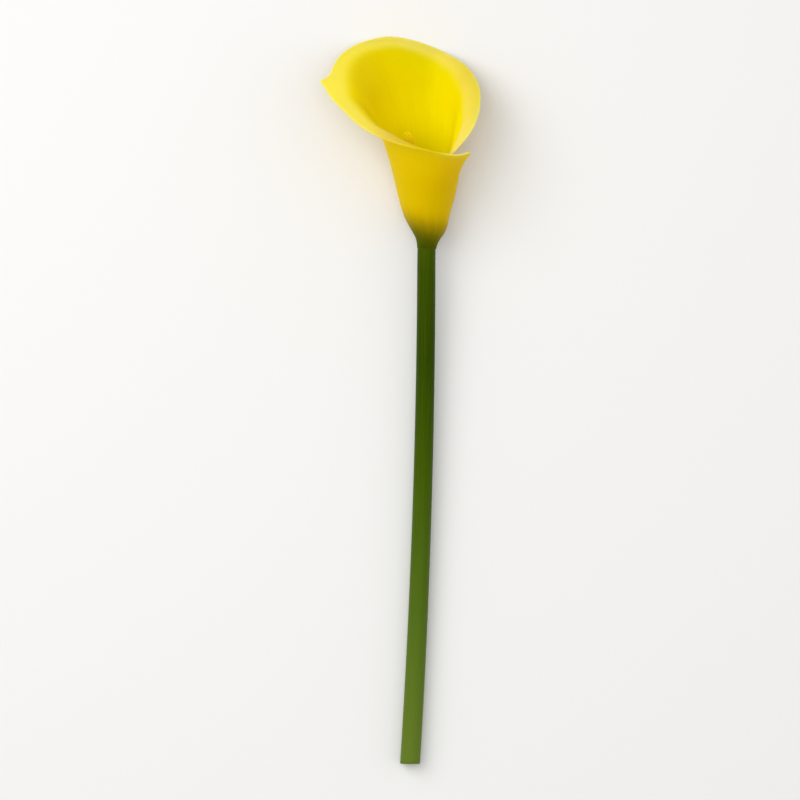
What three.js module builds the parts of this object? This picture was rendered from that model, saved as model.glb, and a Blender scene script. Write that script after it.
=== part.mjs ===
// A cut arum lily flower lying on its back: a green stem, one yellow spathe rolled into
// a trumpet, and the spadix that stands in its throat.
// Millimetres. X runs across the flower, Y along it from the cut end to the mouth, Z up
// from the table. Heights are measured along the flower's axis from its neck, where the
// stem meets the spathe. Angles go round that axis, in degrees: 0 is right, 90 is the back
// that faces the table, 180 is left, 270 is the front that faces up.
import * as THREE from 'three';
import { mergeVertices } from 'three/addons/utils/BufferGeometryUtils.js';

const { clamp, degToRad, lerp, radToDeg, smoothstep } = THREE.MathUtils;

// Stem
const STEM_LENGTH = 225;
const STEM_RADIUS = { cutEnd: 4.3, neck: 3.9 };
const STEM_BOW = 7;
const STEM_SIDES = 24;
const STEM_ROWS = 26;
const SEAT = { radius: 2.5, from: -4.5, shoulder: 0.1, to: -0.8 };
const HEAD = { radius: 3, from: 0.6, to: 2.8 };

// Axis of the flower
const NECK = { x: -0.5, z: 11.2 };
const MOUTH_TILT = degToRad(24);
const BEND_LENGTH = 44;
const LEAN = -0.03;
const BASE_SHIFT = 0.8;
const BASE_SHIFT_AT = 3;
const BASE_SHIFT_OVER = 5;

// Tube of the spathe, as the radius of the middle of its wall
const SLEEVE_RADIUS = 4.45;
const SLEEVE_ROUNDING = 1.6;
const SLEEVE_DRAW = { by: 0.6, over: 3.5 };
const BELL = { swell: 4.2, over: 9 };
const CONE_SLOPE = 0.155;
const PITCH = { base: 1.1, tube: 1.4, over: 6, zeroAt: 149 };
const CURL_IN = { by: 5.6, from: 45, to: -25, low: 8, high: 46 };
const FOOT = { inner: -3, outer: -4 };

// Wall
const WALL = { foot: 0.65, tube: 0.95, rim: 0.7, over: 8, rimFrom: 0.9 };
const TUBE_SHARE = 0.42;
const THROAT_HANDLE = 0.78;
const TIP = { angle: 168, reach: 5.1, back: 3.2, front: 9, power: 8 };
const TABLE_ROUNDING = 1.2;
const FLAT_SPOT = 0.35;

// The rim from the inner margin, round the mouth, to the outer margin. At each angle it has
// a height, a reach out from the axis, and a lip that rolls out to the angle given last.
const RIM = [
  [-118, 2, 4.6, 1, 15], [-98, 16, 8, 2, 15], [-74, 29, 10.2, 3, 20], [-53, 36.5, 12, 3.5, 35],
  [-35, 41, 15.4, 4, 65], [-23, 45, 18.1, 5.5, 84], [-9, 50, 21.6, 7.5, 92], [3, 55, 24.1, 9, 94],
  [14, 59.2, 25.7, 10.5, 94], [25, 62.4, 27.3, 11, 92], [41, 65.6, 29.3, 11, 88], [53, 67.6, 31.2, 10.5, 82],
  [71, 69.6, 34.6, 9.5, 76], [83, 70.8, 38.2, 9, 74], [95, 73.1, 39.8, 9, 72], [109, 74.8, 42.2, 9, 72],
  [120, 74, 44, 9.5, 74], [129, 73.2, 44.3, 10, 80], [146, 71.4, 43, 12, 90],
  [168, 67.1, 39.7, 13, 98], [179, 63.2, 37.8, 12.5, 100], [192, 60.1, 34.1, 11.5, 100],
  [207, 56.2, 30.4, 10.8, 100], [226, 53.3, 27.1, 11, 103], [243, 51.4, 25, 9.5, 100],
  [261, 49.8, 23.8, 7.8, 90], [279, 47.9, 22.8, 5.5, 78], [301, 45, 22.4, 4, 62],
  [315, 43.5, 22.5, 4, 55], [330, 42.5, 23.3, 5, 52], [343, 34, 16.6, 3, 20],
  [360, 25, 13.8, 2, 12], [380, 16, 11.6, 2, 12], [400, 7, 9, 2, 14], [416, 0, 5.9, 1, 10],
];
// Small steps for the slopes that are measured on the wall
const STEP = { angle: 0.2, share: 0.002, height: 0.1 };

const COLUMNS_BEFORE_TIP = 43;
const COLUMNS_AFTER_TIP = 37;
const TIP_CROWDING = 0.45;
const ROWS = 20;
const ROW_CROWDING = 1.25;

// Spadix
const SPADIX = { from: 3.1, to: 47, radius: 3.4, tipRadius: 2.35, lean: -6.8, leanPower: 1.3, domeFrom: 0.94 };
const SPADIX_SIDES = 28;
const SPADIX_ROWS = 48;
const SMOOTH_ENDS = { foot: 0.06, tip: 0.12 };
const OVARIES = { around: 7, pitch: 2.9, relief: 0.32 };
const ANTHERS = { around: 7, pitch: 3.4, relief: 0.2 };
const ZONE_CHANGE = { from: 13.3, to: 14.7 };

const COLOURS = { stem: 0x4f6a1c, spathe: 0xe6c600, spadix: 0xe8c010 };

/** A value that follows x, but levels out at zero with a rounded turn instead of a corner. */
function levelled(x, rounding) {
  return (x + Math.hypot(x, rounding)) / 2;
}

/** Centre of a cross-section at a height, and how far the axis is tilted up from the table. */
function axisAt(height) {
  const rise = NECK.z - STEM_RADIUS.cutEnd;
  const neckTilt = Math.atan(2 * rise / STEM_LENGTH);
  const shift = BASE_SHIFT * Math.exp(-(((height - BASE_SHIFT_AT) / BASE_SHIFT_OVER) ** 2));
  if (height < 0) {
    const done = (height + STEM_LENGTH) / STEM_LENGTH;
    const bow = STEM_BOW * (height / STEM_LENGTH) ** 2;
    return {
      x: NECK.x - bow + shift,
      y: height,
      z: STEM_RADIUS.cutEnd + rise * done ** 2,
      tilt: Math.atan(2 * rise * done / STEM_LENGTH),
    };
  }
  const turn = (MOUTH_TILT - neckTilt) / BEND_LENGTH;
  const bent = Math.min(height, BEND_LENGTH);
  const straight = height - bent;
  const tilt = neckTilt + turn * bent;
  return {
    x: NECK.x + LEAN * height + shift,
    y: (Math.sin(tilt) - Math.sin(neckTilt)) / turn + straight * Math.cos(tilt),
    z: NECK.z + (Math.cos(neckTilt) - Math.cos(tilt)) / turn + straight * Math.sin(tilt),
    tilt,
  };
}

/** The point that lies out from the axis, in the cross-section at a height. */
function around(height, angle, radius) {
  const centre = axisAt(height);
  const back = radius * Math.sin(degToRad(angle));
  return new THREE.Vector3(
    centre.x + radius * Math.cos(degToRad(angle)),
    centre.y + back * Math.sin(centre.tilt),
    centre.z - back * Math.cos(centre.tilt),
  );
}

/** Height, reach, lip and roll of the rim at an angle, on a smooth curve through its stations. */
function rimAt(angle) {
  const found = RIM.findIndex((station) => station[0] > angle);
  const i = found < 0 ? RIM.length - 2 : Math.max(found - 1, 0);
  const stationAt = (k) => RIM[clamp(k, 0, RIM.length - 1)];
  const [before, a, b, after] = [i - 1, i, i + 1, i + 2].map(stationAt);
  const span = b[0] - a[0];
  const t = (angle - a[0]) / span;
  return [1, 2, 3, 4].map((k) => {
    const leaving = (b[k] - before[k]) / (b[0] - before[0]) * span;
    const arriving = (after[k] - a[k]) / (after[0] - a[0]) * span;
    return (2 * t ** 3 - 3 * t ** 2 + 1) * a[k] + (t ** 3 - 2 * t ** 2 + t) * leaving
      + (3 * t ** 2 - 2 * t ** 3) * b[k] + (t ** 3 - t ** 2) * arriving;
  });
}

/** Radius of the rolled tube: a sleeve on the stem, a bell above it, then a cone. */
function tubeRadius(height, angle) {
  const above = levelled(height, SLEEVE_ROUNDING);
  const pitch = lerp(PITCH.base, PITCH.tube, smoothstep(height, 0, PITCH.over));
  const curledIn = CURL_IN.by * (1 - smoothstep(angle, CURL_IN.to, CURL_IN.from))
    * smoothstep(height, CURL_IN.low, CURL_IN.high);
  const drawnIn = SLEEVE_DRAW.by * smoothstep(-height, 0, SLEEVE_DRAW.over);
  const rolled = pitch * (angle - PITCH.zeroAt) / 360;
  const bell = BELL.swell * (1 - Math.exp(-above / BELL.over));
  return SLEEVE_RADIUS + rolled + bell + CONE_SLOPE * above - curledIn - drawnIn;
}

/** Height and radius of the middle of the wall, a share of the way from the foot to the rim. */
function profile(angle, share) {
  const [rimHeight, reach, lip, roll] = rimAt(angle);
  const foot = lerp(FOOT.inner, FOOT.outer, (angle - RIM[0][0]) / (RIM.at(-1)[0] - RIM[0][0]));
  if (share <= TUBE_SHARE) {
    const height = lerp(foot, rimHeight, share);
    return [height, tubeRadius(height, angle)];
  }
  const turn = lerp(foot, rimHeight, TUBE_SHARE);
  const [lipUp, lipOut] = [lip * Math.cos(degToRad(roll)), lip * Math.sin(degToRad(roll))];
  const slope = (tubeRadius(turn + STEP.height, angle) - tubeRadius(turn, angle)) / STEP.height;
  const run = THROAT_HANDLE * (rimHeight - lipUp - turn);
  const flare = new THREE.CubicBezierCurve(
    new THREE.Vector2(turn, tubeRadius(turn, angle)),
    new THREE.Vector2(turn + run, tubeRadius(turn, angle) + slope * run),
    new THREE.Vector2(rimHeight - lipUp, reach - lipOut),
    new THREE.Vector2(rimHeight, reach),
  );
  const t = (share - TUBE_SHARE) / (1 - TUBE_SHARE);
  const point = flare.getPoint(t);
  const off = angle - TIP.angle;
  const beak = TIP.reach * Math.exp(-Math.abs(off) / (off < 0 ? TIP.back : TIP.front));
  return [point.x, point.y + beak * t ** TIP.power];
}

/** Middle of the wall in space. The table keeps the back of the mouth from going lower. */
function wallPoint(angle, share) {
  const [height, radius] = profile(angle, share);
  const point = around(height, angle, radius);
  point.z = levelled(point.z - WALL.tube / 2, TABLE_ROUNDING) + WALL.tube / 2;
  return point;
}

function wallThickness(angle, share) {
  const body = lerp(WALL.foot, WALL.tube, smoothstep(profile(angle, share)[0], 0, WALL.over));
  return Math.min(body, lerp(WALL.tube, WALL.rim, smoothstep(share, WALL.rimFrom, 1)));
}

/** Outward normal of the wall. */
function wallNormal(angle, share) {
  const { angle: da, share: ds } = STEP;
  const along = wallPoint(angle, Math.min(share + ds, 1)).sub(wallPoint(angle, Math.max(share - ds, 0)));
  const across = wallPoint(angle + da, share).sub(wallPoint(angle - da, share));
  return across.cross(along).normalize();
}

/** Angle of a column of the wall: columns crowd towards the tip, and one runs up to it. */
function columnAngle(column) {
  const before = column < COLUMNS_BEFORE_TIP;
  const end = before ? RIM[0][0] : RIM.at(-1)[0];
  const s = Math.abs(column - COLUMNS_BEFORE_TIP) / (before ? COLUMNS_BEFORE_TIP : COLUMNS_AFTER_TIP);
  return TIP.angle + (end - TIP.angle) * s * (TIP_CROWDING + (1 - TIP_CROWDING) * s);
}

/** Splits the box's last face, its back, along the same diagonals as its front. */
function splitFacesAlike(geometry) {
  const { start, count } = geometry.groups.at(-1);
  const index = geometry.index;
  for (let i = start; i < start + count; i += 6) {
    const [a, b, d, c] = [0, 1, 2, 4].map((k) => index.getX(i + k));
    [a, b, c, a, c, d].forEach((vertex, k) => index.setX(i + k, vertex));
  }
}

/** Leaves only positions, so that the shared vertices of a closed body merge. */
function closed(geometry) {
  geometry.deleteAttribute('normal');
  geometry.deleteAttribute('uv');
  geometry.clearGroups();
  const merged = mergeVertices(geometry, 1e-4);
  merged.computeVertexNormals();
  return merged;
}

/** A thin box bent into the spathe's rolled wall. */
function spatheGeometry() {
  const columns = COLUMNS_BEFORE_TIP + COLUMNS_AFTER_TIP;
  const geometry = new THREE.BoxGeometry(1, 1, 1, columns, ROWS, 1);
  splitFacesAlike(geometry);
  const position = geometry.attributes.position;
  for (let i = 0; i < position.count; i += 1) {
    const angle = columnAngle(Math.round((position.getX(i) + 0.5) * columns));
    const share = 1 - (0.5 - position.getY(i)) ** ROW_CROWDING;
    const side = position.getZ(i) * wallThickness(angle, share);
    const point = wallPoint(angle, share).addScaledVector(wallNormal(angle, share), side);
    if (point.z < FLAT_SPOT) point.z = 0;
    position.setXYZ(i, point.x, point.y, point.z);
  }
  return closed(geometry);
}

/** Turns a profile of [radius, height] points round an axis, then bends it along a line. */
function turned(outline, sides, place) {
  const points = outline.map(([radius, height]) => new THREE.Vector2(radius, height));
  const geometry = new THREE.LatheGeometry(points, sides);
  const position = geometry.attributes.position;
  for (let i = 0; i < position.count; i += 1) {
    const [x, height, z] = [position.getX(i), position.getY(i), position.getZ(i)];
    const point = place(height, radToDeg(Math.atan2(-z, x)), Math.hypot(x, z));
    position.setXYZ(i, point.x, point.y, point.z);
  }
  return closed(geometry);
}

function stemGeometry() {
  const outline = [[0, -STEM_LENGTH]];
  for (let row = 0; row <= STEM_ROWS; row += 1) {
    const height = lerp(-STEM_LENGTH, SEAT.from, row / STEM_ROWS);
    outline.push([lerp(STEM_RADIUS.cutEnd, STEM_RADIUS.neck, row / STEM_ROWS), height]);
  }
  outline.push([SEAT.radius, SEAT.from + SEAT.shoulder], [SEAT.radius, SEAT.to]);
  outline.push([HEAD.radius, HEAD.from], [HEAD.radius, HEAD.to], [0, HEAD.to]);
  return turned(outline, STEM_SIDES, around);
}

/** Radius added by a lattice of small mounds, staggered from row to row. */
function mounds(angle, height, { around: count, pitch, relief }) {
  const turn = degToRad(angle) * count;
  const climb = Math.PI * 2 * height / pitch;
  return relief * Math.cos(turn + climb / 2) * Math.cos(turn - climb / 2);
}

function spadixPoint(height, angle, radius) {
  const done = Math.max((height - SPADIX.from) / (SPADIX.to - SPADIX.from), 0);
  const ends = smoothstep(done, 0, SMOOTH_ENDS.foot) * smoothstep(1 - done, 0, SMOOTH_ENDS.tip);
  const zone = smoothstep(height, ZONE_CHANGE.from, ZONE_CHANGE.to);
  const relief = lerp(mounds(angle, height, OVARIES), mounds(angle, height, ANTHERS), zone);
  const point = around(height, angle, radius > 0 ? radius + relief * ends : 0);
  point.x += SPADIX.lean * done ** SPADIX.leanPower;
  return point;
}

function spadixGeometry() {
  const outline = [[0, SPADIX.from]];
  for (let row = 0; row <= SPADIX_ROWS; row += 1) {
    const done = row / SPADIX_ROWS;
    const intoDome = Math.max(0, (done - SPADIX.domeFrom) / (1 - SPADIX.domeFrom));
    const radius = lerp(SPADIX.radius, SPADIX.tipRadius, done) * Math.sqrt(Math.max(0, 1 - intoDome ** 2));
    outline.push([radius, lerp(SPADIX.from, SPADIX.to, done)]);
  }
  return turned(outline, SPADIX_SIDES, spadixPoint);
}

const lily = new THREE.Group();

function add(name, geometry, roughness) {
  const material = new THREE.MeshStandardMaterial({ color: COLOURS[name], roughness, metalness: 0 });
  const mesh = new THREE.Mesh(geometry, material);
  mesh.name = name;
  lily.add(mesh);
}

add('stem', stemGeometry(), 0.5);
add('spathe', spatheGeometry(), 0.4);
add('spadix', spadixGeometry(), 0.7);

// The origin is the middle of the flower's box, on the table.
const box = new THREE.Box3().setFromObject(lily);
lily.position.set(-(box.min.x + box.max.x) / 2, -(box.min.y + box.max.y) / 2, -box.min.z);

export default lily;
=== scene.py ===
"""The looks of a cut yellow arum lily that lies on its back.

Lengths are in millimetres until a finished mesh is brought into the frame. X runs across the
flower, Y along it from the cut end to the mouth, Z up from the table. Heights are measured
along the flower's axis from its neck, where the stem meets the spathe. Angles go round that
axis, in degrees: 0 is right, 90 is the back that faces the table, 180 is left and 270 is the
front that faces up.
"""

import math
import random

import bmesh
import bpy
from mathutils import Matrix, Vector


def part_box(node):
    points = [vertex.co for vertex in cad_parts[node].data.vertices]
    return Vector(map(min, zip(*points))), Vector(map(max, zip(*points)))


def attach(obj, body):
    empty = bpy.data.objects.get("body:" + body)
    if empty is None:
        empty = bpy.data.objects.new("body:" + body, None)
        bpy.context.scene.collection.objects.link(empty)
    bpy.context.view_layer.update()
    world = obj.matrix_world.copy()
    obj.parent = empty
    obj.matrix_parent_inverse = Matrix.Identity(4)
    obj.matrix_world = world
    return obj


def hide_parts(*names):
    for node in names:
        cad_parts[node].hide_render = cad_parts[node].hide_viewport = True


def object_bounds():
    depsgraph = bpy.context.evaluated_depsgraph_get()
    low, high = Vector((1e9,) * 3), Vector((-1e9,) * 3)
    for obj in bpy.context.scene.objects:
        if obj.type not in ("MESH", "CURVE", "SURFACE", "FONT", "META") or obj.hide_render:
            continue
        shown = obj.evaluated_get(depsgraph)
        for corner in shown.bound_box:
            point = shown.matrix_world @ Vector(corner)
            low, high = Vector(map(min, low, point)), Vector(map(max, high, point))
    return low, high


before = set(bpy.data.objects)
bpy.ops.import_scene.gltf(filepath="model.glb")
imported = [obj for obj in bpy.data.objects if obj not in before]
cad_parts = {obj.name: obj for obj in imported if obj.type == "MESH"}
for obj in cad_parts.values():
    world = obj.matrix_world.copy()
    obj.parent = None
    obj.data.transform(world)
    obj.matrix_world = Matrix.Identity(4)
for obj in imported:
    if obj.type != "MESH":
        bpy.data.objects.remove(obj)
cad_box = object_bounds()

MM = 0.001
random.seed(7)

# Axis of the flower
STEM_LENGTH = 225
STEM_RADIUS = {"cut_end": 4.3, "neck": 3.9}
STEM_BOW = 7
NECK = {"x": -0.5, "z": 11.2}
MOUTH_TILT = math.radians(24)
BEND_LENGTH = 44
LEAN = -0.03
BASE_SHIFT = {"by": 0.8, "at": 3, "over": 5}

# Tube of the spathe, as the radius of the middle of its wall
SLEEVE_RADIUS = 4.45
SLEEVE_ROUNDING = 1.6
SLEEVE_HUG = {"gap": 0.1, "pitch": 0.12, "zero_at": 56, "from": -4.6, "to": 2}
BELL = {"swell": 4.2, "over": 9}
CONE_SLOPE = 0.155
PITCH = {"base": 1.1, "tube": 1.4, "over": 6, "zero_at": 149}
CURL_IN = {"by": 5.6, "from": 45, "to": -25, "low": 8, "high": 46}
FOOT = {"inner": -3, "outer": -4.6}

# Wall, and its flare from the tube out to the rim and the tip
WALL = {"foot": 0.12, "tube": 0.95, "rim": 0.7, "over": 8, "rim_from": 0.9}
TUBE_SHARE = 0.42
THROAT_HANDLE = 0.78
SLOPE_STEP = 0.1
TIP = {"angle": 168, "reach": 5.1, "back": 3.2, "front": 9, "power": 8}
TABLE_ROUNDING = 1.2

# The rim from the inner margin, round the mouth, to the outer margin. At each angle it has a
# height, a reach out from the axis, and a lip that rolls out to the angle given last.
RIM = [
    (-118, 2, 4.6, 1, 15), (-98, 16, 8, 2, 15), (-74, 29, 10.2, 3, 20), (-53, 36.5, 12, 3.5, 35),
    (-35, 41, 15.4, 4, 65), (-23, 45, 18.1, 5.5, 84), (-9, 50, 21.6, 7.5, 92), (3, 55, 24.1, 9, 94),
    (14, 59.2, 25.7, 10.5, 94), (25, 62.4, 27.3, 11, 92), (41, 65.6, 29.3, 11, 88),
    (53, 67.6, 31.2, 10.5, 82), (71, 69.6, 34.6, 9.5, 76), (83, 70.8, 38.2, 9, 74),
    (95, 73.1, 39.8, 9, 72), (109, 74.8, 42.2, 9, 72), (120, 74, 44, 9.5, 74),
    (129, 73.2, 44.3, 10, 80), (146, 71.4, 43, 12, 90), (168, 67.1, 39.7, 13, 98),
    (179, 63.2, 37.8, 12.5, 100), (192, 60.1, 34.1, 11.5, 100), (207, 56.2, 30.4, 10.8, 100),
    (226, 53.3, 27.1, 11, 103), (243, 51.4, 25, 9.5, 100), (261, 49.8, 23.8, 7.8, 90),
    (279, 47.9, 22.8, 5.5, 78), (301, 45, 22.4, 4, 62), (315, 43.5, 22.5, 4, 55),
    (330, 42.5, 23.3, 5, 52), (343, 34, 16.6, 3, 20), (360, 25, 13.8, 2, 12),
    (380, 16, 11.6, 2, 12), (400, 7, 9, 2, 14), (416, 0, 5.9, 1, 10),
]
COLUMNS_BEFORE_TIP = 96
COLUMNS_AFTER_TIP = 82
TIP_CROWDING = 0.45
ROWS = 52
ROW_CROWDING = 1.25

# The pale lip along the rim is a painted highlight, where the lip rolls out to face the light.
# Its colour is full up to a share of the lip's width and gone past another. It is narrower on
# the left, and its edge is softer where the next table says and in front.
LIT_LIP_BAND = {"full": 0.64, "gone": 1.02, "least": 2, "left_share": 0.76, "left": -1, "middle": -0.1}
SOFT_LIT_LIP = {"full": 0.42, "gone": 1.24, "at": 135, "none_at": -0.4, "full_at": 0.7}
# Front of the lip, where it turns down away from the light: there the painted highlight reaches wider and
# with a softer edge, over the shaded crease inside it, and the rim's pale line is left off
FRONT = {"from": 200, "full": 234, "until": 284, "gone": 302, "wider": 1.15}
# The palest line, along the rim's edge: partly the bract's thin translucent margin, partly a
# painted highlight on the edge
MARGIN = {"full": 0.2, "gone": 1.0, "paler": 0.4}

# Pattern of the spathe: a unit is 3 degrees round it, 1.9 mm at the mouth, and 50 mm along it
VEINS = {"per_degree": 0.32, "per_mm_along": 0.02, "spread": 0.35}
# Scales in those units: streaks 3.5 mm wide, veins 1.3 mm apart and skin cells of 0.2 mm
STREAK_SCALE = 0.55
VEIN_SCALE = 1.5
CELL_SCALE = 9.0

# Spadix: a core, and florets that stand on it in a spiral
SPADIX = {"from": 3.1, "to": 47, "radius": 3.4, "tip_radius": 2.35, "lean": -6.8, "lean_power": 1.3}
SPADIX_DOME = 0.94
CORE = {"share": 0.95, "sides": 24, "rows": 56, "crowding": 1.5}
FIRST_FLORET = 1
FLORET_ZONE_CHANGE = 14
GOLDEN_ANGLE = 137.508
FLORET_TWIST = 0.4
# Each kind has its size, the share of the spadix's radius where it is rooted, the share of a
# square of its size that it takes up, and its shape
OVARY = {"size": 2.1, "root": 0.88, "area": 0.72, "flattened": 0.75}
ANTHER = {"size": 1.05, "root": 0.95, "area": 0.56, "long": 0.46, "wide": 0.4, "tall": (0.3, 0.4)}
# How far a point of a floret stands out, which sets the painted shade in the gaps between florets
RAISED = {"middle": 0.45, "per_radius": 0.6}
# Steps down and up over which the spadix's narrowing is measured, and the least radius that
# the spiral turns round
NARROWING_STEP = {"down": 0.02, "up": 0.01}
LEAST_TURN_RADIUS = 0.4

# Stem, with the dished cut at its lower end
STEM_SIDES = 72
STEM_ROWS = 150
CUT = {"bevel": 0.25, "dish": 0.35, "rings": 12, "below": 0.36, "facing": -0.85}
# Ring of skin round the cut, in distances from its middle
RIND = {"none_at": 3.5, "full_at": 4.1}
# Head of the stem inside the spathe, as shares of the room there and heights
HEAD_FROM = -3.4
HEAD_GAP = 0.06
HEAD_MERGE = 15
HEAD = [
    (1, -3.2), (1, -2.4), (1, -1.6), (1, -0.8), (1, 0), (1, 0.8), (1, 1.6), (1, 2.2),
    (0.97, 2.6), (0.88, 2.85), (0, 3),
]
# Pattern of the stem's skin: a unit is 1.1 mm round it and 67 mm along it, and the lines lie
# half a millimetre apart
SKIN_LINES = {"half_round": 12, "per_mm_along": 0.015, "scale": 2.2}

# Spacings of the sap vessels in the cut, of its pith's cells and of the pollen's grains
VESSEL_SPACING = 0.8
PITH_SPACING = 0.4
POLLEN_SPACING = 0.25

MERGE_DISTANCE = 1e-4

# Studio: each light's place and size in metres and its power in watts
LIGHTS = [
    ("key", (-0.75, 0.45, 1.0), 1.0, 8),
    ("fill", (0.9, -0.1, 0.9), 1.2, 1.6),
    ("front", (0.0, 0.15, 1.6), 0.9, 5.2),
]
WORLD_STRENGTH = 0.52
FLOOR_SIZE = 4
CAMERA = {"lens": 800, "sensor": 36, "seen": 1.1}


def lerp(a, b, t):
    return a + (b - a) * t


def smoothstep(x, low, high):
    t = min(max((x - low) / (high - low), 0), 1)
    return t * t * (3 - 2 * t)


def levelled(x, rounding):
    """A value that follows x, but levels out at zero with a rounded turn instead of a corner."""
    return (x + math.hypot(x, rounding)) / 2


def axis_at(height):
    """Centre of a cross-section at a height, and how far the axis is tilted up from the table."""
    rise = NECK["z"] - STEM_RADIUS["cut_end"]
    neck_tilt = math.atan(2 * rise / STEM_LENGTH)
    shift = BASE_SHIFT["by"] * math.exp(-(((height - BASE_SHIFT["at"]) / BASE_SHIFT["over"]) ** 2))
    if height < 0:
        done = (height + STEM_LENGTH) / STEM_LENGTH
        x = NECK["x"] - STEM_BOW * (height / STEM_LENGTH) ** 2 + shift
        z = STEM_RADIUS["cut_end"] + rise * done**2
        return Vector((x, height, z)), math.atan(2 * rise * done / STEM_LENGTH)
    turn = (MOUTH_TILT - neck_tilt) / BEND_LENGTH
    bent = min(height, BEND_LENGTH)
    straight = height - bent
    tilt = neck_tilt + turn * bent
    y = (math.sin(tilt) - math.sin(neck_tilt)) / turn + straight * math.cos(tilt)
    z = NECK["z"] + (math.cos(neck_tilt) - math.cos(tilt)) / turn + straight * math.sin(tilt)
    return Vector((NECK["x"] + LEAN * height + shift, y, z)), tilt


def around(height, angle, radius):
    """The point that lies out from the axis, in the cross-section at a height."""
    centre, tilt = axis_at(height)
    across = radius * math.cos(math.radians(angle))
    back = radius * math.sin(math.radians(angle))
    return centre + Vector((across, back * math.sin(tilt), -back * math.cos(tilt)))


def rim_at(angle):
    """Height, reach, lip and roll of the rim at an angle, on a smooth curve through its stations."""
    last = len(RIM) - 1
    start = next((k for k, station in enumerate(RIM) if station[0] > angle), last) - 1
    start = min(max(start, 0), last - 1)
    before, a, b, after = (RIM[min(max(k, 0), last)] for k in range(start - 1, start + 3))
    t = (angle - a[0]) / (b[0] - a[0])
    found = []
    for k in (1, 2, 3, 4):
        leaving = (b[k] - before[k]) / (b[0] - before[0]) * (b[0] - a[0])
        arriving = (after[k] - a[k]) / (after[0] - a[0]) * (b[0] - a[0])
        found.append(
            (2 * t**3 - 3 * t**2 + 1) * a[k]
            + (t**3 - 2 * t**2 + t) * leaving
            + (3 * t**2 - 2 * t**3) * b[k]
            + (t**3 - t**2) * arriving
        )
    return found


def tube_radius(height, angle):
    """Radius of the rolled tube: a sleeve on the stem, a bell above it, then a cone."""
    above = levelled(height, SLEEVE_ROUNDING)
    pitch = lerp(PITCH["base"], PITCH["tube"], smoothstep(height, 0, PITCH["over"]))
    curled = CURL_IN["by"] * (1 - smoothstep(angle, CURL_IN["to"], CURL_IN["from"]))
    curled *= smoothstep(height, CURL_IN["low"], CURL_IN["high"])
    rolled = pitch * (angle - PITCH["zero_at"]) / 360
    bell = BELL["swell"] * (1 - math.exp(-above / BELL["over"]))
    free = SLEEVE_RADIUS + rolled + bell + CONE_SLOPE * above - curled
    layer = SLEEVE_HUG["pitch"] * (angle - SLEEVE_HUG["zero_at"]) / 360
    hugging = STEM_RADIUS["neck"] + SLEEVE_HUG["gap"] + layer
    return lerp(hugging, free, smoothstep(height, SLEEVE_HUG["from"], SLEEVE_HUG["to"]))


def wall_at(height):
    """Thickness of the wall at a height, away from the rim."""
    return lerp(WALL["foot"], WALL["tube"], smoothstep(height, FOOT["outer"], WALL["over"]))


def room_inside(height, angle):
    """Radius that the head of the stem has inside the innermost layer of the rolled wall."""
    margin = RIM[0][0]
    inner = (angle - margin) % 360 + margin
    merging = smoothstep(inner, margin + 360 - HEAD_MERGE, margin + 360)
    middle = lerp(tube_radius(height, inner), tube_radius(height, margin), merging)
    return middle - wall_at(height) / 2 - HEAD_GAP


def round_share(angle):
    """Share of the way round the roll, from the inner margin to the outer one."""
    return (angle - RIM[0][0]) / (RIM[-1][0] - RIM[0][0])


def foot_height(angle):
    return lerp(FOOT["inner"], FOOT["outer"], round_share(angle))


def flare_points(angle):
    """Control points of the curve that leads from the top of the tube out to the rim."""
    rim_height, reach, lip, roll = rim_at(angle)
    turn = lerp(foot_height(angle), rim_height, TUBE_SHARE)
    lip_up = lip * math.cos(math.radians(roll))
    lip_out = lip * math.sin(math.radians(roll))
    slope = (tube_radius(turn + SLOPE_STEP, angle) - tube_radius(turn, angle)) / SLOPE_STEP
    run = THROAT_HANDLE * (rim_height - lip_up - turn)
    start = Vector((turn, tube_radius(turn, angle)))
    return (
        start,
        start + Vector((run, slope * run)),
        Vector((rim_height - lip_up, reach - lip_out)),
        Vector((rim_height, reach)),
    )


def profile(angle, share, flare):
    """Height and radius of the middle of the wall, a share of the way from the foot to the rim."""
    if share <= TUBE_SHARE:
        height = lerp(foot_height(angle), rim_at(angle)[0], share)
        return height, tube_radius(height, angle)
    t = (share - TUBE_SHARE) / (1 - TUBE_SHARE)
    a, b, c, d = flare
    point = a * (1 - t) ** 3 + b * 3 * t * (1 - t) ** 2 + c * 3 * t * t * (1 - t) + d * t**3
    off = angle - TIP["angle"]
    beak = TIP["reach"] * math.exp(-abs(off) / (TIP["back"] if off < 0 else TIP["front"]))
    return point.x, point.y + beak * t ** TIP["power"]


def column_angle(column):
    """Angle of a column of the wall: columns crowd towards the tip, and one runs up to it."""
    before = column < COLUMNS_BEFORE_TIP
    end = RIM[0][0] if before else RIM[-1][0]
    count = COLUMNS_BEFORE_TIP if before else COLUMNS_AFTER_TIP
    away = abs(column - COLUMNS_BEFORE_TIP) / count
    return TIP["angle"] + (end - TIP["angle"]) * away * (TIP_CROWDING + (1 - TIP_CROWDING) * away)


def front_share(angle):
    """How much an angle belongs to the front lip, from none to full."""
    reached = smoothstep(angle, FRONT["from"], FRONT["full"])
    return reached * (1 - smoothstep(angle, FRONT["until"], FRONT["gone"]))


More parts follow.
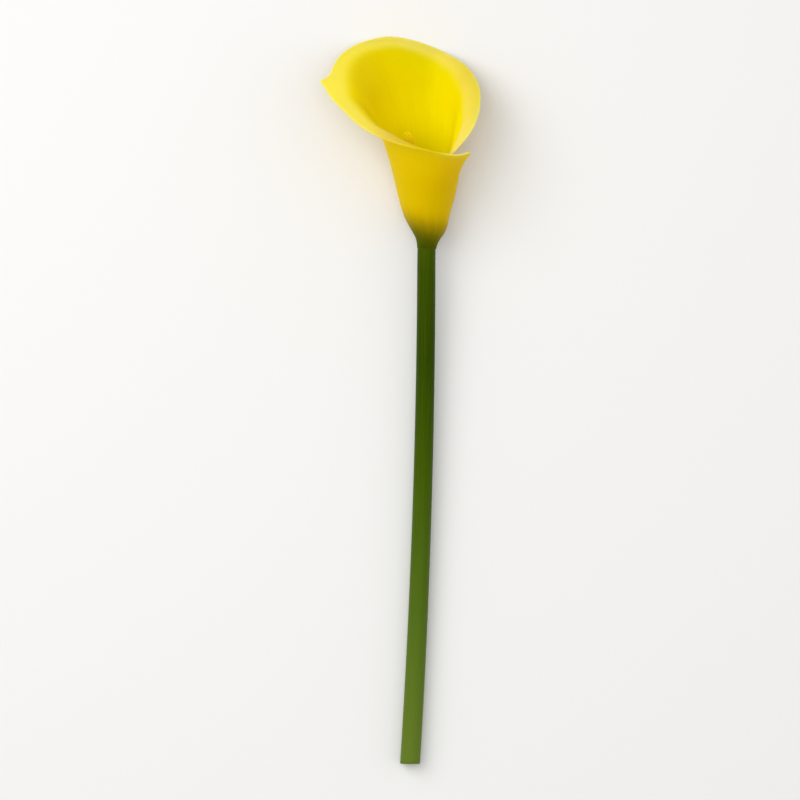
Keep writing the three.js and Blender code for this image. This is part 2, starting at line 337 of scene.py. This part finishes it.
def lit_lip_share(angle, height, radius):
    """How much a point of the wall takes the lip's painted highlight along the rim, from none to full."""
    rim_height, reach, lip = rim_at(angle)[:3]
    from_rim = math.hypot(rim_height - height, max(reach - radius, 0))
    across = math.cos(math.radians(angle))
    off_the_left = smoothstep(across, LIT_LIP_BAND["left"], LIT_LIP_BAND["middle"])
    width = max(lip, LIT_LIP_BAND["least"]) * lerp(LIT_LIP_BAND["left_share"], 1, off_the_left)
    width *= lerp(1, FRONT["wider"], front_share(angle))
    towards_soft = math.cos(math.radians(angle - SOFT_LIT_LIP["at"]))
    soft = smoothstep(towards_soft, SOFT_LIT_LIP["none_at"], SOFT_LIT_LIP["full_at"])
    soft = max(soft, front_share(angle))
    full = lerp(LIT_LIP_BAND["full"], SOFT_LIT_LIP["full"], soft)
    gone = lerp(LIT_LIP_BAND["gone"], SOFT_LIT_LIP["gone"], soft)
    return 1 - smoothstep(from_rim / width, full, gone)


# Place of the neck in the frame, from the box of the stem's node
stem_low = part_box("stem")[0] / MM
NECK_LEFT_OF_CUT = STEM_RADIUS["cut_end"] + STEM_BOW - NECK["x"]
IN_FRAME = Vector((stem_low.x + NECK_LEFT_OF_CUT, stem_low.y + STEM_LENGTH, 0))


def piece_from(bm, name, cad_node, slot, *materials):
    """Brings a finished bmesh into the frame as a piece that stands for its node."""
    into_frame = Matrix.Scale(MM, 4) @ Matrix.Translation(IN_FRAME)
    bmesh.ops.transform(bm, matrix=into_frame, verts=bm.verts)
    mesh = bpy.data.meshes.new(name)
    bm.to_mesh(mesh)
    bm.free()
    mesh.shade_smooth()
    for material in materials:
        mesh.materials.append(material)
    piece = bpy.data.objects.new(name, mesh)
    bpy.context.scene.collection.objects.link(piece)
    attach(piece, "root")
    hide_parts(cad_node)
    return piece


def linear(hexadecimal):
    """An sRGB hex colour as the linear values that a socket takes."""
    parts = [int(hexadecimal[i : i + 2], 16) / 255 for i in (1, 3, 5)]
    return [p / 12.92 if p <= 0.04045 else ((p + 0.055) / 1.055) ** 2.4 for p in parts] + [1]


def new_material(name):
    """A material with its nodes cleared, its tree and its Principled shader."""
    material = bpy.data.materials.new(name)
    material.use_nodes = True
    tree = material.node_tree
    tree.nodes.clear()
    output = tree.nodes.new("ShaderNodeOutputMaterial")
    shader = tree.nodes.new("ShaderNodeBsdfPrincipled")
    tree.links.new(shader.outputs["BSDF"], output.inputs["Surface"])
    return material, tree, shader


# Places of the colour sockets of a node that mixes two colours
MIX_FACTOR, MIX_A, MIX_B = 0, 6, 7
# Outputs that other nodes read, where they aren't the first
OUTPUTS = {"ShaderNodeMix": 2, "ShaderNodeAttribute": "Fac", "ShaderNodeTexCoord": "Object"}


def node(tree, kind, values=None, stops=None, **settings):
    """Adds a node with its settings, its colour stops and its values, each a constant or the
    output that feeds it, and gives the output that other nodes read."""
    made = tree.nodes.new(kind)
    for name, setting in settings.items():
        setattr(made, name, setting)
    for place, value in (values or {}).items():
        if isinstance(value, bpy.types.NodeSocket):
            tree.links.new(value, made.inputs[place])
        else:
            made.inputs[place].default_value = value
    if stops:
        elements = made.color_ramp.elements
        while len(elements) < len(stops):
            elements.new(1)
        for element, (position, colour) in zip(elements, stops):
            element.position = position
            element.color = linear(colour)
    return made.outputs[OUTPUTS.get(kind, 0)]


# Colours of the lip inside the rolled rim, at angles round the mouth, and outside it: a painted
# highlight where the lip faces the light, dulled by painted shade from 233 to 284 degrees in
# front, where the lip turns down away from the light
LIT_LIP_COLOURS = [
    (-118, "#F0D650"), (-14, "#EFD867"), (10, "#EED54F"), (45, "#EACE43"), (72, "#F6D952"),
    (100, "#FFE05C"), (140, "#FFDE42"), (180, "#F4DC4E"), (213, "#F2D553"), (233, "#DFC04B"),
    (250, "#DFC02A"), (268, "#DEBC0C"), (284, "#DEBC0E"), (300, "#F2CE58"), (340, "#F2CE58"),
]
INSIDE_LIT_LIP_STOPS = [(round_share(angle), colour) for angle, colour in LIT_LIP_COLOURS]
OUTSIDE_LIT_LIP_STOPS = [(0.0, "#E4C50C"), (1.0, "#E4C50C")]
# The lip's painted highlight comes in by a power of its share, so that it begins gently
LIP_GENTLENESS = 2.5
# Tints off the lip, in turn: the attribute that each follows, where it is none and where it is
# full, its colour and its most. Outside, the tube is a deeper gold lower down, its left side is
# painted lighter by the light from the left and its right side painted darker and warmer in shade.
# Inside, the left wall has painted shade, and the throat a painted glow that stands for light
# crossing the wall.
OUTSIDE_TINTS = [
    ("height", 44, 28, "#DDB900", 1.0),
    ("across", 0.3, -1, "#E8C400", 0.35),
    ("across", 0.1, 1, "#E2AC00", 0.35),
]
INSIDE_TINTS = [("across", 0.3, -1, "#E0BE00", 0.72), ("height", 60, 28, "#FFEA00", 0.95)]
# Heights between which the spathe's base has its own colours, heights over which it turns
# yellow, and how much sooner it does so on the right
BASE = {"low": -4.0, "high": 16.0, "yellow_from": 8.0, "yellow_at": 18.0, "slant": 2.2}
# Those colours, from the foot up
INNER_BASE_STOPS = [
    (0.0, "#465503"), (0.12, "#566208"), (0.3, "#A09C10"), (0.55, "#BDAE0A"), (1.0, "#E6CC00"),
]
OUTER_BASE_STOPS = [
    (0.0, "#465503"), (0.2, "#5E5D03"), (0.35, "#7A7004"), (0.53, "#A58C04"), (0.65, "#BC9E02"),
    (0.8, "#CDAB00"), (1.0, "#D8B400"),
]


def waxy_spathe_material(name, body_colour, lit_lip_stops, base_stops, tints):
    """Fleshy bract of a yellow arum lily: a thin waxed skin over juicy, slightly translucent
    tissue. It glows deep yellow where light crosses it, has faint veins that run lengthwise,
    and turns green at its foot, on the left a little higher up than on the right. Painted light
    lies on it too: a highlight on the lip, a pale line on the rim's edge that is partly a
    highlight, and the light, shade and throat glow that its tints give."""
    material, tree, shader = new_material(name)
    height = node(tree, "ShaderNodeAttribute", attribute_name="height")
    across = node(tree, "ShaderNodeAttribute", attribute_name="across")
    vein = node(tree, "ShaderNodeAttribute", attribute_name="vein")
    lengthwise = node(tree, "ShaderNodeMath", {0: height, 1: VEINS["per_mm_along"]}, operation="MULTIPLY")
    pattern = node(tree, "ShaderNodeCombineXYZ", {"X": vein, "Y": lengthwise})
    streaks = node(tree, "ShaderNodeTexNoise", {"Vector": pattern, "Scale": STREAK_SCALE, "Detail": 2.0})
    veins = node(tree, "ShaderNodeTexNoise", {"Vector": pattern, "Scale": VEIN_SCALE, "Detail": 1.0})
    cells = node(tree, "ShaderNodeTexNoise", {"Vector": pattern, "Scale": CELL_SCALE, "Detail": 2.0})

    # Painted highlight of the lip; the painted light and shade of the tints stay off it
    lip = node(tree, "ShaderNodeAttribute", attribute_name="lip")
    off_the_lit_lip = node(tree, "ShaderNodeMath", {0: 1.0, 1: lip}, operation="SUBTRACT")
    body = linear(body_colour)
    for along, none_at, full_at, tint, most in tints:
        followed = node(tree, "ShaderNodeAttribute", attribute_name=along)
        share = node(
            tree,
            "ShaderNodeMapRange",
            {"Value": followed, "From Min": none_at, "From Max": full_at, "To Max": most},
        )
        share = node(tree, "ShaderNodeMath", {0: share, 1: off_the_lit_lip}, operation="MULTIPLY")
        mixed = {MIX_FACTOR: share, MIX_A: body, MIX_B: linear(tint)}
        body = node(tree, "ShaderNodeMix", mixed, data_type="RGBA")

    # Painted highlight on the lip, in colours that change round the mouth
    way_round = node(tree, "ShaderNodeAttribute", attribute_name="round")
    lit_lip_colour = node(tree, "ShaderNodeValToRGB", {"Fac": way_round}, lit_lip_stops)
    lit_lip_part = node(tree, "ShaderNodeMath", {0: lip, 1: LIP_GENTLENESS}, operation="POWER")
    mixed = {MIX_FACTOR: lit_lip_part, MIX_A: body, MIX_B: lit_lip_colour}
    body = node(tree, "ShaderNodeMix", mixed, data_type="RGBA")

    # Pale line on the rim's edge: partly the bract's translucent margin, partly a painted highlight
    margin = node(tree, "ShaderNodeAttribute", attribute_name="margin")
    margin_part = node(tree, "ShaderNodeMath", {0: margin, 1: MARGIN["paler"]}, operation="MULTIPLY")
    mixed = {MIX_FACTOR: margin_part, MIX_A: body, MIX_B: linear("#FBEB84")}
    body = node(tree, "ShaderNodeMix", mixed, data_type="RGBA")

    vein_part = node(
        tree,
        "ShaderNodeMapRange",
        {"Value": veins, "From Min": 0.42, "From Max": 0.7, "To Min": 0.0, "To Max": 0.05},
    )
    mixed = {MIX_FACTOR: vein_part, MIX_A: body, MIX_B: linear("#C29600")}
    veined = node(tree, "ShaderNodeMix", mixed, data_type="RGBA")

    unevenness = node(
        tree,
        "ShaderNodeMapRange",
        {"Value": streaks, "From Min": 0.3, "From Max": 0.7, "To Min": -0.8, "To Max": 0.8},
    )
    slanted = node(tree, "ShaderNodeMath", {0: across, 1: BASE["slant"]}, operation="MULTIPLY")
    uneven = node(tree, "ShaderNodeMath", {0: height, 1: unevenness}, operation="ADD")
    uneven = node(tree, "ShaderNodeMath", {0: uneven, 1: slanted}, operation="ADD")
    foot_part = node(
        tree,
        "ShaderNodeMapRange",
        {"Value": uneven, "From Min": BASE["low"], "From Max": BASE["high"]},
    )
    foot = node(tree, "ShaderNodeValToRGB", {"Fac": foot_part}, base_stops)
    yellowing = node(
        tree,
        "ShaderNodeMapRange",
        {"Value": uneven, "From Min": BASE["yellow_from"], "From Max": BASE["yellow_at"]},
        interpolation_type="SMOOTHSTEP",
    )
    mixed = {MIX_FACTOR: yellowing, MIX_A: foot, MIX_B: veined}
    colour = node(tree, "ShaderNodeMix", mixed, data_type="RGBA")
    tree.links.new(colour, shader.inputs["Base Color"])

    roughness = node(tree, "ShaderNodeMapRange", {"Value": cells, "To Min": 0.42, "To Max": 0.52})
    tree.links.new(roughness, shader.inputs["Roughness"])
    bump = node(tree, "ShaderNodeBump", {"Height": veins, "Strength": 0.12, "Distance": 0.08 * MM})
    tree.links.new(bump, shader.inputs["Normal"])
    shader.inputs["IOR"].default_value = 1.33
    shader.inputs["Specular Tint"].default_value = linear("#FFE040")
    shader.inputs["Specular IOR Level"].default_value = 0.08
    shader.inputs["Subsurface Weight"].default_value = 0.7
    shader.inputs["Subsurface Radius"].default_value = (1.0, 0.95, 0.1)
    shader.inputs["Subsurface Scale"].default_value = 3 * MM
    return material


# Colours of the stem, from the cut end up to a height inside the spathe. Its deep green is partly
# its own and partly painted shade.
STEM_STOPS = [
    (0.0, "#64792A"), (0.3, "#4E671A"), (0.56, "#3A5204"), (0.76, "#273C00"), (0.93, "#324400"),
    (0.985, "#3F4E01"), (1.0, "#C0BA28"),
]
STEM_STOPS_END = 2.3


def stem_skin_material():
    """Smooth fleshy stalk: a waxed green skin with faint lengthwise lines, deep green in the
    middle, partly its own green and partly painted shade, yellower under the spathe and paler
    towards the cut end."""
    material, tree, shader = new_material("waxy green stalk skin")
    height = node(tree, "ShaderNodeAttribute", attribute_name="height")
    way_up = node(
        tree,
        "ShaderNodeMapRange",
        {"Value": height, "From Min": -STEM_LENGTH, "From Max": STEM_STOPS_END},
    )
    colour = node(tree, "ShaderNodeValToRGB", {"Fac": way_up}, STEM_STOPS)
    turn = node(tree, "ShaderNodeAttribute", attribute_name="turn")
    lengthwise = node(
        tree, "ShaderNodeMath", {0: height, 1: SKIN_LINES["per_mm_along"]}, operation="MULTIPLY"
    )
    pattern = node(tree, "ShaderNodeCombineXYZ", {"X": turn, "Y": lengthwise})
    lines = node(
        tree,
        "ShaderNodeTexNoise",
        {"Vector": pattern, "Scale": SKIN_LINES["scale"], "Detail": 3.0},
    )
    line_part = node(
        tree,
        "ShaderNodeMapRange",
        {"Value": lines, "From Min": 0.35, "From Max": 0.7, "To Min": 0.0, "To Max": 0.2},
    )
    mixed = {MIX_FACTOR: line_part, MIX_A: colour, MIX_B: linear("#5E7A18")}
    lined = node(tree, "ShaderNodeMix", mixed, data_type="RGBA")
    tree.links.new(lined, shader.inputs["Base Color"])
    bump = node(tree, "ShaderNodeBump", {"Height": lines, "Strength": 0.3, "Distance": 0.12 * MM})
    tree.links.new(bump, shader.inputs["Normal"])
    shader.inputs["Roughness"].default_value = 0.42
    shader.inputs["IOR"].default_value = 1.36
    shader.inputs["Specular Tint"].default_value = linear("#BCD84C")
    shader.inputs["Specular IOR Level"].default_value = 0.12
    shader.inputs["Subsurface Weight"].default_value = 0.12
    shader.inputs["Subsurface Radius"].default_value = (0.5, 0.8, 0.1)
    shader.inputs["Subsurface Scale"].default_value = 1.5 * MM
    return material


def cut_flesh_material():
    """Fresh cut through the stalk: pale wet pith with darker dots where the sap vessels end
    and a green ring of skin round it."""
    material, tree, shader = new_material("cut stalk flesh")
    place = node(tree, "ShaderNodeTexCoord")
    vessels = node(tree, "ShaderNodeTexVoronoi", {"Vector": place, "Scale": 1 / (VESSEL_SPACING * MM)})
    dotted = node(
        tree,
        "ShaderNodeValToRGB",
        {"Fac": vessels},
        [(0.0, "#7C8F42"), (0.2, "#94A55A"), (0.32, "#BFC98C"), (1.0, "#CDD6A0")],
    )
    pith = node(
        tree, "ShaderNodeTexNoise", {"Vector": place, "Scale": 1 / (PITH_SPACING * MM), "Detail": 3.0}
    )
    greenness = node(tree, "ShaderNodeMapRange", {"Value": pith, "To Min": 0.0, "To Max": 0.45})
    mixed = {MIX_FACTOR: greenness, MIX_A: dotted, MIX_B: linear("#B4C27C")}
    flesh = node(tree, "ShaderNodeMix", mixed, data_type="RGBA")
    from_middle = node(tree, "ShaderNodeAttribute", attribute_name="from_middle")
    rind_part = node(
        tree,
        "ShaderNodeMapRange",
        {"Value": from_middle, "From Min": RIND["none_at"], "From Max": RIND["full_at"]},
        interpolation_type="SMOOTHSTEP",
    )
    mixed = {MIX_FACTOR: rind_part, MIX_A: flesh, MIX_B: linear("#6F8A30")}
    colour = node(tree, "ShaderNodeMix", mixed, data_type="RGBA")
    tree.links.new(colour, shader.inputs["Base Color"])
    bump = node(tree, "ShaderNodeBump", {"Height": pith, "Strength": 0.3, "Distance": 0.1 * MM})
    tree.links.new(bump, shader.inputs["Normal"])
    shader.inputs["Roughness"].default_value = 0.3
    shader.inputs["IOR"].default_value = 1.38
    return material


def pollen_material():
    """Florets covered with pollen: powdery, matt and rounded, with painted shade in the gaps between
    them.
    """
    material, tree, shader = new_material("powdery yellow pollen")
    raised = node(tree, "ShaderNodeAttribute", attribute_name="raised")
    # Painted shade: lower points, in the gaps between florets and on the core, are darker
    mixed = {MIX_FACTOR: raised, MIX_A: linear("#FCD000"), MIX_B: linear("#FFE000")}
    colour = node(tree, "ShaderNodeMix", mixed, data_type="RGBA")
    tree.links.new(colour, shader.inputs["Base Color"])
    place = node(tree, "ShaderNodeTexCoord")
    grains = node(
        tree, "ShaderNodeTexNoise", {"Vector": place, "Scale": 1 / (POLLEN_SPACING * MM), "Detail": 2.0}
    )
    bump = node(tree, "ShaderNodeBump", {"Height": grains, "Strength": 0.4, "Distance": 0.05 * MM})
    tree.links.new(bump, shader.inputs["Normal"])
    shader.inputs["Roughness"].default_value = 0.8
    shader.inputs["Specular IOR Level"].default_value = 0.1
    shader.inputs["Subsurface Weight"].default_value = 0.5
    shader.inputs["Subsurface Radius"].default_value = (1.0, 0.9, 0.1)
    shader.inputs["Subsurface Scale"].default_value = 0.8 * MM
    return material


def make_spathe():
    """The rolled bract: a grid bent into the middle of its wall, then given its thickness."""
    bm = bmesh.new()
    columns = COLUMNS_BEFORE_TIP + COLUMNS_AFTER_TIP
    bmesh.ops.create_grid(bm, x_segments=columns, y_segments=ROWS, size=1)
    names = ("height", "vein", "lip", "margin", "across", "round")
    layers = {name: bm.verts.layers.float.new(name) for name in names}
    thickness = bm.verts.layers.deform.verify()
    flares = [flare_points(column_angle(column)) for column in range(columns + 1)]
    for vert in bm.verts:
        column = round((vert.co.x + 1) / 2 * columns)
        angle = column_angle(column)
        share = 1 - (max(0, 1 - vert.co.y) / 2) ** ROW_CROWDING
        height, radius = profile(angle, share, flares[column])
        edge = lerp(WALL["tube"], WALL["rim"], smoothstep(share, WALL["rim_from"], 1))
        vert[thickness][0] = min(wall_at(height), edge) / WALL["tube"]
        to_rim = math.dist(profile(angle, 1, flares[column]), (height, radius))
        margin = 1 - smoothstep(to_rim, MARGIN["full"], MARGIN["gone"])
        fanned = (angle - TIP["angle"]) * (1 + VEINS["spread"] * share**3)
        vert[layers["height"]] = height
        vert[layers["vein"]] = fanned * VEINS["per_degree"]
        vert[layers["lip"]] = lit_lip_share(angle, height, radius)
        vert[layers["margin"]] = margin * (1 - front_share(angle))
        vert[layers["across"]] = math.cos(math.radians(angle))
        vert[layers["round"]] = round_share(angle)
        point = around(height, angle, radius)
        point.z = levelled(point.z - WALL["tube"] / 2, TABLE_ROUNDING) + WALL["tube"] / 2
        vert.co = point
    outside = waxy_spathe_material(
        "waxy golden spathe, outside", "#E1C200", OUTSIDE_LIT_LIP_STOPS, OUTER_BASE_STOPS, OUTSIDE_TINTS
    )
    inside = waxy_spathe_material(
        "waxy lemon spathe, inside", "#EDD600", INSIDE_LIT_LIP_STOPS, INNER_BASE_STOPS, INSIDE_TINTS
    )
    spathe = piece_from(bm, "spathe_bract", "spathe", "spathe_yellow", outside, inside)
    spathe.vertex_groups.new(name="wall")
    solidify = spathe.modifiers.new("wall", "SOLIDIFY")
    solidify.thickness = WALL["tube"] * MM
    solidify.offset = 0
    solidify.vertex_group = "wall"
    solidify.material_offset = 1
    solidify.material_offset_rim = 1
    smooth = spathe.modifiers.new("rounding", "SUBSURF")
    smooth.levels = smooth.render_levels = 1
    return spathe


def tube_grid(bm, sides, outline):
    """Adds a grid to be bent into a closed round body, whose outline is [radius, height]
    points, and lists each vertex with its angle, radius and height."""
    made = bmesh.ops.create_grid(bm, x_segments=sides, y_segments=len(outline) - 1, size=1)
    placed = []
    for vert in made["verts"]:
        angle = (vert.co.x + 1) / 2 * 360
        radius, height = outline[round((vert.co.y + 1) / 2 * (len(outline) - 1))]
        placed.append((vert, angle, radius, height))
    return placed


def close_tube(bm):
    """Closes the seam and the two poles of a bent grid."""
    bmesh.ops.remove_doubles(bm, verts=bm.verts, dist=MERGE_DISTANCE)
    bmesh.ops.dissolve_degenerate(bm, edges=bm.edges, dist=MERGE_DISTANCE)
    bmesh.ops.recalc_face_normals(bm, faces=bm.faces)


def make_stem():
    """The stalk: a long tapered round body with a dished fresh cut at its lower end."""
    bm = bmesh.new()
    cut_radius = STEM_RADIUS["cut_end"]
    outline = []
    for ring in range(CUT["rings"] + 1):
        out = ring / CUT["rings"]
        outline.append((out * (cut_radius - CUT["bevel"]), CUT["dish"] * (1 - out**2) - STEM_LENGTH))
    for row in range(STEM_ROWS + 1):
        done = row / STEM_ROWS
        height = lerp(CUT["bevel"] - STEM_LENGTH, HEAD_FROM, done)
        outline.append((lerp(cut_radius, STEM_RADIUS["neck"], done), height))
    outline += HEAD
    height_layer = bm.verts.layers.float.new("height")
    turn_layer = bm.verts.layers.float.new("turn")
    middle_layer = bm.verts.layers.float.new("from_middle")
    for vert, angle, radius, height in tube_grid(bm, STEM_SIDES, outline):
        if height > HEAD_FROM:
            radius *= room_inside(height, angle)
        vert[height_layer] = height
        vert[turn_layer] = SKIN_LINES["half_round"] * abs(angle / 180 - 1)
        vert[middle_layer] = radius
        vert.co = around(height, angle, radius)
    close_tube(bm)
    for face in bm.faces:
        at_the_cut = max(vert[height_layer] for vert in face.verts) < CUT["below"] - STEM_LENGTH
        face.material_index = 1 if at_the_cut and face.normal.y < CUT["facing"] else 0
    skin = stem_skin_material()
    return piece_from(bm, "stem_stalk", "stem", "stem_green", skin, cut_flesh_material())


def spadix_radius(height):
    done = (height - SPADIX["from"]) / (SPADIX["to"] - SPADIX["from"])
    into_dome = max(0, (done - SPADIX_DOME) / (1 - SPADIX_DOME))
    return lerp(SPADIX["radius"], SPADIX["tip_radius"], done) * math.sqrt(max(0, 1 - into_dome**2))


def spadix_point(height, angle, radius):
    done = max((height - SPADIX["from"]) / (SPADIX["to"] - SPADIX["from"]), 0)
    point = around(height, angle, radius)
    point.x += SPADIX["lean"] * done ** SPADIX["lean_power"]
    return point


def narrowing_at(height):
    """How steeply the spadix narrows towards its tip at a height."""
    below = spadix_radius(height - NARROWING_STEP["down"])
    above = spadix_radius(height + NARROWING_STEP["up"])
    return (below - above) / (NARROWING_STEP["down"] + NARROWING_STEP["up"])


def floret_place(height, turn, radius):
    """Place of a floret rooted at a radius, with its Z square to the surface of the spadix."""
    root = spadix_point(height, turn, radius)
    outward = spadix_point(height, turn, radius + 1) - root
    upward = spadix_point(height + 1, turn, radius) - root
    out = (outward + upward * narrowing_at(height)).normalized()
    return Matrix.Translation(root) @ out.to_track_quat("Z", "Y").to_matrix().to_4x4()


def floret_mesh(name, add_sphere, **detail):
    """A floret as a round body of unit radius, with how far it stands out from the core."""
    bm = bmesh.new()
    raised = bm.verts.layers.float.new("raised")
    add_sphere(bm, radius=1, **detail)
    for vert in bm.verts:
        vert[raised] = RAISED["middle"] + RAISED["per_radius"] * vert.co.z
    mesh = bpy.data.meshes.new(name)
    bm.to_mesh(mesh)
    bm.free()
    return mesh


def make_spadix():
    """The finger of florets: a slim core, round ovaries at its foot and blunt anthers above,
    set on a spiral as they grow."""
    bm = bmesh.new()
    raised = bm.verts.layers.float.new("raised")
    outline = [(0, SPADIX["from"])]
    for row in range(CORE["rows"] + 1):
        left = (1 - row / CORE["rows"]) ** CORE["crowding"]
        height = lerp(SPADIX["to"], SPADIX["from"], left)
        outline.append((spadix_radius(height) * CORE["share"], height))
    for vert, angle, radius, height in tube_grid(bm, CORE["sides"], outline):
        vert[raised] = 0.0
        vert.co = spadix_point(height, angle, radius)
    close_tube(bm)

    ovary_mesh = floret_mesh("ovary", bmesh.ops.create_icosphere, subdivisions=2)
    anther_mesh = floret_mesh("anther", bmesh.ops.create_uvsphere, u_segments=8, v_segments=5)
    height = SPADIX["from"] + FIRST_FLORET
    turn = 0.0
    while height < SPADIX["to"] - NARROWING_STEP["down"]:
        ovary = height < FLORET_ZONE_CHANGE
        kind = OVARY if ovary else ANTHER
        size = kind["size"]
        place = floret_place(height, turn, spadix_radius(height) * kind["root"])
        place @= Matrix.Rotation(random.uniform(-FLORET_TWIST, FLORET_TWIST), 4, "Z")
        if ovary:
            shape = (size / 2, size / 2, size / 2 * OVARY["flattened"])
        else:
            tall = random.uniform(*ANTHER["tall"])
            shape = (size * ANTHER["long"], size * ANTHER["wide"], size * tall)
        floret = (ovary_mesh if ovary else anther_mesh).copy()
        floret.transform(place @ Matrix.Diagonal((*shape, 1)))
        bm.from_mesh(floret)
        bpy.data.meshes.remove(floret)
        girth = 2 * math.pi * max(spadix_radius(height), LEAST_TURN_RADIUS)
        height += size**2 * kind["area"] / girth / math.hypot(1, narrowing_at(height))
        turn += GOLDEN_ANGLE
    bpy.data.meshes.remove(ovary_mesh)
    bpy.data.meshes.remove(anther_mesh)
    return piece_from(bm, "spadix_florets", "spadix", "spadix_pollen", pollen_material())


def make_floor():
    """Plain pale floor of matt card."""
    bm = bmesh.new()
    bmesh.ops.create_grid(bm, x_segments=1, y_segments=1, size=FLOOR_SIZE)
    mesh = bpy.data.meshes.new("floor")
    bm.to_mesh(mesh)
    bm.free()
    floor = bpy.data.objects.new("floor", mesh)
    bpy.context.scene.collection.objects.link(floor)
    material, tree, shader = new_material("matt pale card")
    shader.inputs["Base Color"].default_value = linear("#F1F0EE")
    shader.inputs["Roughness"].default_value = 0.9
    mesh.materials.append(material)


def make_lights():
    """Soft studio light, mostly from the upper left."""
    world = bpy.data.worlds.new("studio")
    world.use_nodes = True
    background = world.node_tree.nodes["Background"]
    background.inputs["Color"].default_value = (1, 1, 1, 1)
    background.inputs["Strength"].default_value = WORLD_STRENGTH
    bpy.context.scene.world = world
    for name, place, size, power in LIGHTS:
        lamp = bpy.data.lights.new(name, "AREA")
        lamp.size = size
        lamp.energy = power
        light = bpy.data.objects.new(name, lamp)
        light.location = place
        light.rotation_euler = (-Vector(place)).to_track_quat("-Z", "Y").to_euler()
        bpy.context.scene.collection.objects.link(light)


def make_camera():
    """A camera that looks straight down, from so far that nothing looks skewed."""
    lens = bpy.data.cameras.new("camera")
    lens.lens = CAMERA["lens"]
    lens.sensor_width = CAMERA["sensor"]
    low, high = cad_box
    away = (high.y - low.y) * CAMERA["seen"] * CAMERA["lens"] / CAMERA["sensor"]
    camera = bpy.data.objects.new("camera", lens)
    camera.location = ((low.x + high.x) / 2, (low.y + high.y) / 2, away)
    bpy.context.scene.collection.objects.link(camera)
    bpy.context.scene.camera = camera
    bpy.context.scene.view_settings.view_transform = "Standard"


make_floor()
make_lights()
make_camera()
make_stem()
make_spathe()
make_spadix()
